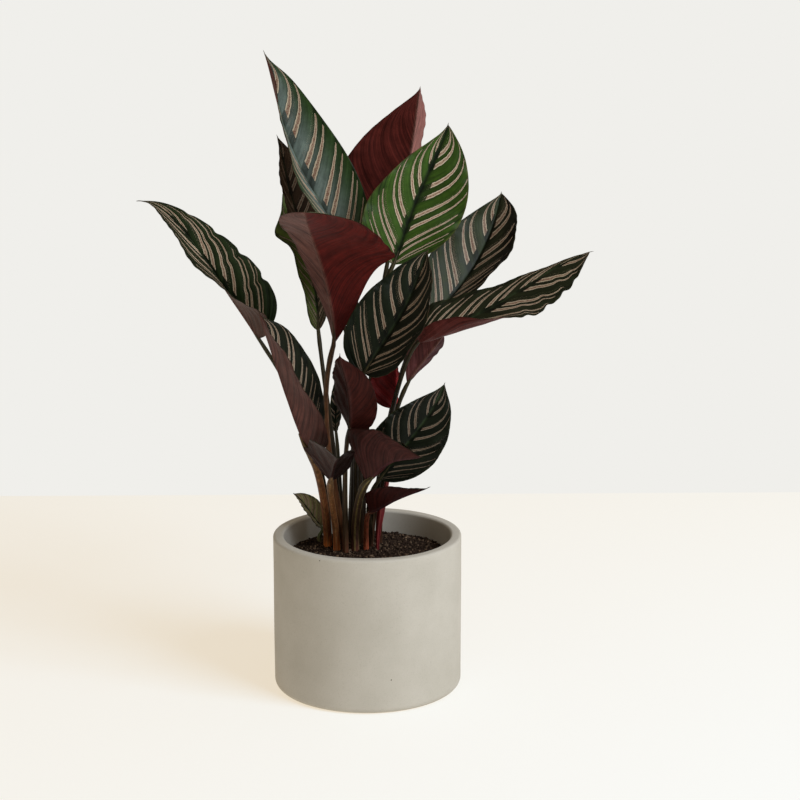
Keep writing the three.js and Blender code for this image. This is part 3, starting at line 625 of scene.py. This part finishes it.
# Each blade's looks: "green" and "back" are the colours of the first and second half of the upper and
# lower skins. They hold painted shade and sheen: blades and halves that lie in shadow are given darker
# colours, and lower halves that catch the light a paler, greyer mauve as a painted sheen.
# "painted_sheen" is a band of pale painted sheen beside the midrib as colour, middle, spread and
# strength, "rim" the margin's colour above, "rib" the midrib's above and below, "vale" the midrib's
# reach above in millimetres, "gap" the first pairs' spacing along the midrib, "sweep" how far a vein
# runs on by the margin in half widths, "paint" the lines' brightness, lowered as painted shade on
# blades that lie in shadow, "line" their breadth as a share of the usual, "notches" dents in a margin
# as half, place, depth and spread, "point" how much the tip is drawn out, and "hair" the length of the
# tip's hair.
LOOKS = {
    "tall-left": dict(green=("#24371c", "#1f340d"), painted_sheen=("#66706a", 0.15, 0.42, 0.85),
                      rib=("#5c6657", "#6a4a42"), gap=26, point=0.65),
    "dark-left": dict(green=("#443526", "#3a2c20"), gap=18, paint=0.6, line=0.8),
    "wavy-left": dict(green=("#3f4a1e", "#2a2618"), gap=15, paint=0.45, sweep=2.2),
    "top-back": dict(back=("#80504a", "#4a1c17"), gap=24, point=0.4),
    "big-front": dict(back=("#4b130f", "#5c3c35"), gap=24, point=0),
    "top-right": dict(green=("#2f4614", "#263a09"), rib=("#0c1505", "#6a4a42"), rim="#4a4a22", gap=20,
                      point=0.2, vale=2.4, line=0.85),
    "front-centre": dict(green=("#10160b", "#11130a"), rib=("#1f2814", "#6a4a42"), gap=18, paint=0.6,
                         line=0.8),
    "right-back": dict(green=("#242a18", "#0b0b05"), painted_sheen=("#3a3f28", 0.3, 0.3, 0.3), gap=22, point=0.2,
                       paint=0.75),
    "far-right": dict(green=("#1c1f10", "#1a1d0e"), gap=22, hair=4, point=0.2, sweep=1.9, paint=0.9, notches=[
        (1, 0.6, 0.08, 0.02), (1, 0.7, 0.09, 0.02), (1, 0.8, 0.1, 0.02), (1, 0.88, 0.1, 0.02)]),
    "far-left": dict(green=("#1a1f10", "#1c2611"), back=("#463028", "#492522"), gap=24, point=0.4, sweep=2.2,
                     notches=[(1, 0.3, 0.07, 0.02), (1, 0.45, 0.08, 0.02), (1, 0.58, 0.09, 0.02),
                              (1, 0.72, 0.08, 0.02)]),
    "folded-left": dict(green=("#15190d", "#15180c"), back=("#4e2f2a", "#452725"), gap=19, sweep=1.7,
                        paint=0.8),
    "dark-centre": dict(back=("#35140f", "#32110d"), rib=("#222c18", "#38201c"), gap=18),
    "low-right": dict(green=("#0f120a", "#0e1209"), gap=16, paint=0.4, line=0.65),
    "cupped-right": dict(back=("#30110f", "#3f201d"), rib=("#4a4a30", "#46282a"), gap=16),
    "cupped-left": dict(back=("#1a0e0b", "#2c1814"), rib=("#222c18", "#2a1614"), gap=16),
    "narrow-right": dict(back=("#2c0f0c", "#2a0e0b"), rib=("#222c18", "#30151a"), gap=14, point=0.5),
    "slim-back": dict(green=("#14160e", "#1c2016"), gap=9, hair=1, paint=0.5),
    "small-left": dict(green=("#9a9670", "#86825a"), gap=7, hair=1),
    "young-red": dict(back=("#6a1412", "#4a0d0c"), rib=("#4a4a30", "#a02f33"), gap=14),
    "rolled-right": dict(back=("#452022", "#5a3230"), gap=12, hair=0.5),
}
PLAIN = dict(green=(GREEN, GREEN), back=(MAROON, MAROON), painted_sheen=None, rib=("#222c18", "#5c3c34"),
             rim="#20230f", gap=20, hair=2, point=0.3, notches=[], sweep=1.3, paint=1.0, line=1.0,
             vale=1.1)
LINE_CREAM = "#c6b59a"
LINE_PINK = "#6f4a3b"


def half_width(leaf, look, t, side):
    """The blade's half width: width (t / m)^p ((1 - t) / (1 - m))^q with m = p / (p + q). A drawn-out
    point and each notch narrow it by a bell, and a bulge widens it by one."""
    p, q = leaf["shape"][side]
    m = p / (p + q)
    width = leaf["width"][side] * (np.clip(t, 0, 1) / m) ** p * (np.clip(1 - t, 0, 1) / (1 - m)) ** q
    width = width * (1 - look["point"] * np.exp(-((1 - t) / 0.08) ** 2))
    bulging, centre, share, spread = leaf.get("bulge", (side, 0, 0, 1))
    if bulging == side:
        width = width * (1 + share * np.exp(-((t - centre) / spread) ** 2))
    for half, place, depth, spread in look["notches"]:
        if half == side:
            width = width * (1 - depth * np.exp(-((t - place) / spread) ** 2))
    return np.maximum(width, LEAST_WIDTH)


def blade_sheet(leaf, look, t, s):
    """The blade's middle sheet at t along the midrib and s across it, from -1 to 1. Each half leaves the
    midrib at its fold and bends on by its curl: out = w (sin a - sin fold) / curl and
    up = w (cos fold - cos a) / curl, with a = fold + curl |s|. Waves and the quilting of the veins
    lift it along its normal. A side vein that leaves the midrib at v has run on by
    W sweep (0.75 |s| + 0.25 |s|^3) when it is |s| of the way out, so it bends along the margin. Veins
    are counted in pairs, n of them up to v = gap (n + SPREAD n^2)."""
    rib, ahead, face, across = rib_frame(leaf, t)
    second = s >= 0
    reach = np.abs(s)
    sign = np.where(second, 1.0, -1.0)

    def both(key):
        return np.where(second, along(leaf[key][1], t), along(leaf[key][0], t))

    width = np.where(second, half_width(leaf, look, t, 1), half_width(leaf, look, t, 0))
    full = np.where(second, leaf["width"][1], leaf["width"][0])
    fold = np.radians(both("fold"))
    curl = np.radians(both("curl"))
    curl = np.where(np.abs(curl) < 1e-4, 1e-4, curl)
    angle = fold + curl * reach
    out = width * (np.sin(angle) - np.sin(fold)) / curl
    up = width * (np.cos(fold) - np.cos(angle)) / curl
    normal = face * np.cos(angle)[..., None] - across * (sign * np.sin(angle))[..., None]

    t_fine = np.linspace(0, 1, 400)
    steps = np.linalg.norm(np.diff(along(leaf["rib"], t_fine), axis=0), axis=-1)
    length = np.interp(t, t_fine, np.concatenate([[0], np.cumsum(steps)]))
    flat = width * reach
    place = length - full * look["sweep"] * (0.75 * reach + 0.25 * reach ** 3)
    vein = (np.sqrt(np.maximum(1 + 4 * SPREAD * place / look["gap"], 0.04)) - 1) / (2 * SPREAD)

    height, waves, start = leaf["wave"]
    size = np.sqrt(np.clip(width / full, 0, 1))
    lift = height * reach ** 2 * size * np.sin(2 * np.pi * (waves * t + start + np.where(second, 0, 0.37)))
    ruffle = 2 * np.pi * (waves * 4.3 * t + 0.31 * start) + 2 * np.sin(9 * t)
    crimp = 0.35 * reach ** 5 * size * np.sin(ruffle)
    quilt = QUILT_RELIEF * size * np.sin(np.pi * reach) ** 0.5 * np.cos(2 * np.pi * vein)
    point = rib + across * (sign * out)[..., None] + face * up[..., None]
    point = point + normal * (lift + crimp + quilt)[..., None]
    return point, normal, flat, vein


def blend(first, second, share):
    """Two colours mixed by a share from 0 to 1 at each point."""
    return first + (second - first) * np.clip(share, 0, 1)[..., None]


def skin_colours(look, s, t, flat, width):
    """The upper and the lower skin's colours, without the lines: one for each half, which holds painted
    shade and sheen, the painted sheen band, the midrib within 1 mm of the middle and the rim within 1 mm
    of the margin."""
    tones = {key: [np.array(linear(colour)) for colour in look[key]] for key in ("green", "back", "rib")}
    # Each half's colour holds painted shade, and on the lower skin's lit halves a painted sheen.
    share = np.where(s >= 0, 1.0, 0.0)
    above = blend(tones["green"][0], tones["green"][1], share)
    below = blend(tones["back"][0], tones["back"][1], share)
    # A band of pale painted sheen beside the midrib, put into the base colour.
    if look["painted_sheen"]:
        colour, middle, spread, strength = look["painted_sheen"]
        share = strength * np.exp(-((np.abs(s) - middle) / spread) ** 2)
        above = blend(above, np.array(linear(colour)), share)
    rim = np.exp(-((width - flat) / RIM_REACH) ** 2)
    above = blend(above, np.array(linear(look["rim"])), 0.9 * rim)
    below = blend(below, below * 0.6, 0.8 * rim)
    above = blend(above, tones["rib"][0], 0.95 * np.exp(-(flat / look["vale"]) ** 2))
    below = blend(below, tones["rib"][1], 0.9 * np.exp(-(flat / 1.2) ** 2))
    return above, below


def stripe_nodes(tree):
    """Where a point lies between the side veins, by name: "pair" is how far it is from the
    middle of its pair as a share of the spacing, "away" how far from the nearer line, "width" that
    line's half width, which narrows outwards, "there" 1 where lines are drawn, and "streak" a noise
    drawn out along the veins. Each pair has its own place, spacing, start and end by chance."""
    vein, edge, seed, breadth = [add(tree, "Attribute", attribute_name=key).outputs["Fac"]
                                 for key in ("vein", "edge", "seed", "line")]
    place = add(tree, "TexCoord").outputs["Object"]
    wobble = add(tree, "TexNoise", {
        "Vector": place, "Scale": pattern_scale(WOBBLE_SIZE), "Detail": 3, "Roughness": 0.6})
    pair = add(tree, "Math", {0: vein}, operation="FLOOR")
    key = add(tree, "CombineXYZ", {"X": pair, "Y": seed})
    chance = add(tree, "TexWhiteNoise", {"Vector": key}, noise_dimensions="2D")
    own = add(tree, "SeparateColor", {"Color": chance.outputs["Color"]})
    stray, shift, apart, begin, end = [
        add(tree, "MapRange", {"Value": value, "To Min": least, "To Max": most})
        for value, least, most in (
            (wobble, -0.035, 0.035), (own.outputs["Red"], 0.44, 0.56),
            (chance.outputs["Value"], 0.15, 0.24), (own.outputs["Blue"], 0.07, 0.17),
            (own.outputs["Green"], 0.8, 0.97))]
    part = add(tree, "Math", {0: vein}, operation="FRACT")
    off = add(tree, "Math", {0: part, 1: shift}, operation="SUBTRACT")
    off = add(tree, "Math", {0: off, 1: stray}, operation="ADD")
    off = add(tree, "Math", {0: off}, operation="ABSOLUTE")
    away = add(tree, "Math", {0: off, 1: apart}, operation="SUBTRACT")
    away = add(tree, "Math", {0: away}, operation="ABSOLUTE")
    width = add(tree, "MapRange", {
        "Value": edge, "From Min": 0.3, "From Max": end, "To Min": 0.1, "To Max": 0.035})
    width = add(tree, "Math", {0: width, 1: breadth}, operation="MULTIPLY")
    there = 1
    for value, side, limit in (
            (edge, "GREATER_THAN", begin), (edge, "LESS_THAN", end), (vein, "GREATER_THAN", -0.95)):
        within = add(tree, "Math", {0: value, 1: limit}, operation=side)
        there = add(tree, "Math", {0: there, 1: within}, operation="MULTIPLY")
    grain = add(tree, "CombineXYZ", {"X": vein, "Y": edge, "Z": seed})
    drawn = add(tree, "Mapping", {"Vector": grain, "Scale": (11, 1.6, 7)})
    streak = add(tree, "TexNoise", {"Vector": drawn, "Scale": 1, "Detail": 4, "Roughness": 0.6})
    return dict(pair=off, away=away, width=width, there=there, streak=streak, place=place)


def make_upper_skin():
    """Upper leaf skin: satin green, with painted light on the ground between the pairs of lines and painted
    shade in a darker green seam beside each line, as the quilting between the veins would shade it. Each
    line looks painted on, with cream edges and a speckled pink-brown core, dimmed as painted shade on
    blades that lie in shadow."""
    material, tree = new_material("calathea_leaf_upper_skin")
    skin = add(tree, "Attribute", attribute_name="skin").outputs["Color"]
    glow = add(tree, "Attribute", attribute_name="paint").outputs["Fac"]
    at = stripe_nodes(tree)
    away, width = at["away"], at["width"]
    inner, outer, sharp = [add(tree, "Math", {0: width, 1: share}, operation="MULTIPLY")
                           for share in (0.4, 0.72, 0.8)]
    beside = add(tree, "Math", {0: width, 1: 0.045}, operation="ADD")
    line, core = [add(tree, "MapRange", {"Value": away, "From Min": start, "From Max": end,
                                         "To Min": 1, "To Max": 0})
                  for start, end in ((sharp, width), (inner, outer))]
    line = add(tree, "Math", {0: line, 1: at["there"]}, operation="MULTIPLY")

    speck = add(tree, "TexNoise", {
        "Vector": at["place"], "Scale": pattern_scale(FLECK_SIZE), "Detail": 2, "Roughness": 0.7})
    fleck = add(tree, "MapRange", {
        "Value": speck, "From Min": 0.35, "From Max": 0.65, "To Min": 0.55, "To Max": 1})
    core = add(tree, "Math", {0: core, 1: fleck}, operation="MULTIPLY")
    paint = add(tree, "Mix", {0: core, 6: linear(LINE_CREAM), 7: linear(LINE_PINK)}, data_type="RGBA")
    # The lines' colour is dimmed by each blade's "paint" share: painted shade on blades that lie in shadow.
    paint = add(tree, "VectorMath", {0: paint.outputs[2], "Scale": glow}, operation="SCALE")

    mottle = add(tree, "TexNoise", {
        "Vector": at["place"], "Scale": pattern_scale(MOTTLE_SIZE), "Detail": 5, "Roughness": 0.65})
    # The last two factors are painted shade in a seam beside each line and painted light between the pairs.
    ground = shaded(tree, skin, [(mottle, 0.3, 0.7, 0.75, 1.25), (at["streak"], 0.3, 0.7, 0.7, 1.3),
                                 (away, width, beside, 0.5, 1), (at["pair"], 0.24, 0.4, 0.85, 1.2)])
    colour = add(tree, "Mix", {0: line, 6: ground, 7: paint}, data_type="RGBA").outputs[2]
    height = add(tree, "Math", {0: at["streak"], 1: mottle}, operation="ADD")
    rough = add(tree, "MapRange", {
        "Value": mottle, "From Min": 0.3, "From Max": 0.7, "To Min": 0.36, "To Max": 0.5})
    return finish_material(material, colour, rough, height, relief=0.5, strength=0.5, gloss=0.1)


def make_lower_skin():
    """Lower leaf skin: matt wine red, with a darker band under each side vein and streaks between."""
    material, tree = new_material("calathea_leaf_lower_skin")
    skin = add(tree, "Attribute", attribute_name="skin").outputs["Color"]
    at = stripe_nodes(tree)
    mottle = add(tree, "TexNoise", {
        "Vector": at["place"], "Scale": pattern_scale(UNDER_MOTTLE_SIZE), "Detail": 5, "Roughness": 0.6})
    ground = shaded(tree, skin, [(mottle, 0.3, 0.7, 0.75, 1.25), (at["streak"], 0.3, 0.7, 0.45, 1.6),
                                 (at["away"], 0, 0.12, 0.78, 1.05)])
    return finish_material(material, ground, 0.5, at["streak"], relief=0.6, strength=0.6, gloss=0.08)


def make_blade(name, leaf, look, seed, materials):
    """A closed shell round the middle sheet: the upper skin across from margin to margin, then the lower
    one back again. Rows lie closer towards the ends, columns closer towards midrib and margins. The
    shell closes at the blade's base, and past its tip it shrinks into the hair."""
    rows, halves = LARGE_GRID if sum(leaf["width"]) > LARGE_SPAN else SMALL_GRID
    even = np.linspace(0, 1, rows)
    t = 0.5 * even + 0.25 * (1 - np.cos(np.pi * even))
    u = np.linspace(0, 1, halves)
    reach = 1 - (1 - u ** 1.35) ** 1.15
    across = np.concatenate([-reach[:0:-1], reach])
    t_grid, s_grid = np.meshgrid(t, across, indexing="ij")
    point, normal, flat, vein = blade_sheet(leaf, look, t_grid, s_grid)
    width = np.where(s_grid >= 0, flat[:, -1:], flat[:, :1])
    tip = np.clip(1 - t_grid, 0, 1) ** 0.6
    groove = GROOVE_DEPTH * tip * np.exp(-(flat / GROOVE_REACH) ** 2)
    ridge = RIB_RELIEF * tip * np.exp(-(flat / RIB_REACH) ** 2)
    body = MARGIN_THICKNESS / 2 + 0.1 * tip * (1 - np.abs(s_grid))
    upper = point + normal * (body - groove)[..., None]
    lower = point - normal * (body + ridge)[..., None]
    loop = np.concatenate([upper, lower[:, ::-1]], axis=1)

    k = np.linspace(0, 1, HAIR_RINGS + 1)[1:, None, None]
    end, ahead, face, _ = rib_frame(leaf, np.array([1.0]))
    centre = end + ahead * look["hair"] * k[:, 0] - 0.15 * look["hair"] * face * k[:, 0] ** 2
    last = loop[-1] - loop[-1].mean(axis=0)
    hair = centre[:, None] + last[None] * (1 - k) ** 0.7
    base = np.broadcast_to(rib_frame(leaf, np.array([0.0]))[0], loop[:1].shape)
    shell = np.concatenate([base, loop, hair])

    def over_shell(above, below):
        """Values above and below the sheet as one value for each point of the shell."""
        values = np.concatenate([above, below[:, ::-1]], axis=1)
        return np.concatenate([values[:1], values, np.repeat(values[-1:], HAIR_RINGS, axis=0)])

    def one_number(values):
        return over_shell(values, values)[..., None]

    attributes = dict(
        skin=over_shell(*skin_colours(look, s_grid, t_grid, flat, width)),
        edge=one_number(np.abs(s_grid)), vein=one_number(vein),
        seed=one_number((s_grid >= 0) * 0.5 + seed),
        # "paint" is the lines' brightness, lowered as painted shade on blades that lie in shadow.
        paint=one_number(np.full_like(vein, look["paint"])),
        line=one_number(np.full_like(vein, look["line"])))
    rings, columns = shell.shape[:2]
    slots = np.broadcast_to(np.where(np.arange(columns) < len(across), 0, 1), (rings - 1, columns))
    piece = new_piece(f"blade_{name}", shell, grid_faces(rings, columns), materials, slots, **attributes)
    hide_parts(f"blade-{name}")
    return piece


upper_skin = make_upper_skin()
lower_skin = make_lower_skin()
for number, (name, leaf) in enumerate(LEAVES.items()):
    look = {**PLAIN, **LOOKS[name]}
    blade = make_blade(name, leaf, look, number, [upper_skin, lower_skin])

# The table. A plain slab 4 m wide, painted matt white, whose back edge is the straight line across the
# photograph. The paint's bluish base and its warm glow add up to a pale table with a warm shadow.
TABLE_WIDTH = 4000
TABLE_FRONT = -2400
TABLE_BACK = 620
TABLE_THICKNESS = 20
TABLE = "#88a6bc"
TABLE_GLOW = "#d6c4ac"
TABLE_GLOW_STRENGTH = 1.05


def make_table():
    """A box whose top is the ground."""
    left, right = -TABLE_WIDTH / 2, TABLE_WIDTH / 2
    outline = ((left, TABLE_FRONT), (right, TABLE_FRONT), (right, TABLE_BACK), (left, TABLE_BACK))
    corners = np.array([(x, y, z) for z in (-TABLE_THICKNESS, 0) for x, y in outline])
    sides = [(3, 2, 1, 0), (4, 5, 6, 7), (0, 1, 5, 4), (1, 2, 6, 5), (2, 3, 7, 6), (3, 0, 4, 7)]
    mesh = bpy.data.meshes.new("table")
    mesh.from_pydata((corners * MM).tolist(), [], sides)
    material, tree = new_material("matt_white_paint")
    shader = add(tree, "BsdfPrincipled", {
        "Base Color": linear(TABLE), "Roughness": 0.8,
        "Emission Color": linear(TABLE_GLOW), "Emission Strength": TABLE_GLOW_STRENGTH})
    add(tree, "OutputMaterial", {"Surface": shader})
    mesh.materials.append(material)
    table = bpy.data.objects.new("table", mesh)
    bpy.context.scene.collection.objects.link(table)


make_table()

# The light. Soft daylight from a window high up at the right, and a dimmer warm light from the pale room
# all round. The camera sees the room's wall itself at full brightness.
WINDOW_PLACE = (2.1, -1.6, 2.2)
WINDOW_AIM = (0, 0, 0.3)
WINDOW_SIZE = 1.7
WINDOW_POWER = 105
WINDOW = "#e9f3ff"
ROOM = "#fff3e0"
ROOM_LIGHT = 0.42
WALL = "#f0efeb"


def make_window():
    """A square area light, in metres and watts, turned towards the plant."""
    lamp = bpy.data.lights.new("window", "AREA")
    lamp.size = WINDOW_SIZE
    lamp.energy = WINDOW_POWER
    lamp.color = linear(WINDOW)[:3]
    light = bpy.data.objects.new("window", lamp)
    light.location = WINDOW_PLACE
    way = Vector(WINDOW_AIM) - Vector(WINDOW_PLACE)
    light.rotation_euler = way.to_track_quat("-Z", "Y").to_euler()
    bpy.context.scene.collection.objects.link(light)


def make_room():
    """The world: one colour and strength for the camera, another for the light on the surfaces."""
    world = bpy.data.worlds.new("pale_room")
    world.use_nodes = True
    tree = world.node_tree
    tree.nodes.clear()
    seen = add(tree, "LightPath").outputs["Is Camera Ray"]
    strength = add(tree, "MapRange", {"Value": seen, "To Min": ROOM_LIGHT, "To Max": 1})
    colour = add(tree, "Mix", {0: seen, 6: linear(ROOM), 7: linear(WALL)}, data_type="RGBA")
    room = add(tree, "Background", {"Color": colour.outputs[2], "Strength": strength})
    add(tree, "OutputWorld", {"Surface": room})
    bpy.context.scene.world = world


make_window()
make_room()
bpy.context.scene.view_settings.view_transform = "Standard"

# The camera. It stands where the photograph was taken from, 1.6 m in front of the pot, looking down on
# its rim by 12.7 degrees and turned 1 degree to the right.
CAMERA_PLACE = (0, -1.629, 0.623)
CAMERA_TILT = 12.7
CAMERA_TURN = 1.006
LENS = 87.17
FILM_WIDTH = 36

camera_data = bpy.data.cameras.new("camera")
camera_data.lens = LENS
camera_data.sensor_width = FILM_WIDTH
camera = bpy.data.objects.new("camera", camera_data)
camera.location = CAMERA_PLACE
camera.rotation_euler = np.radians((90 - CAMERA_TILT, 0, -CAMERA_TURN))
bpy.context.scene.collection.objects.link(camera)
bpy.context.scene.camera = camera
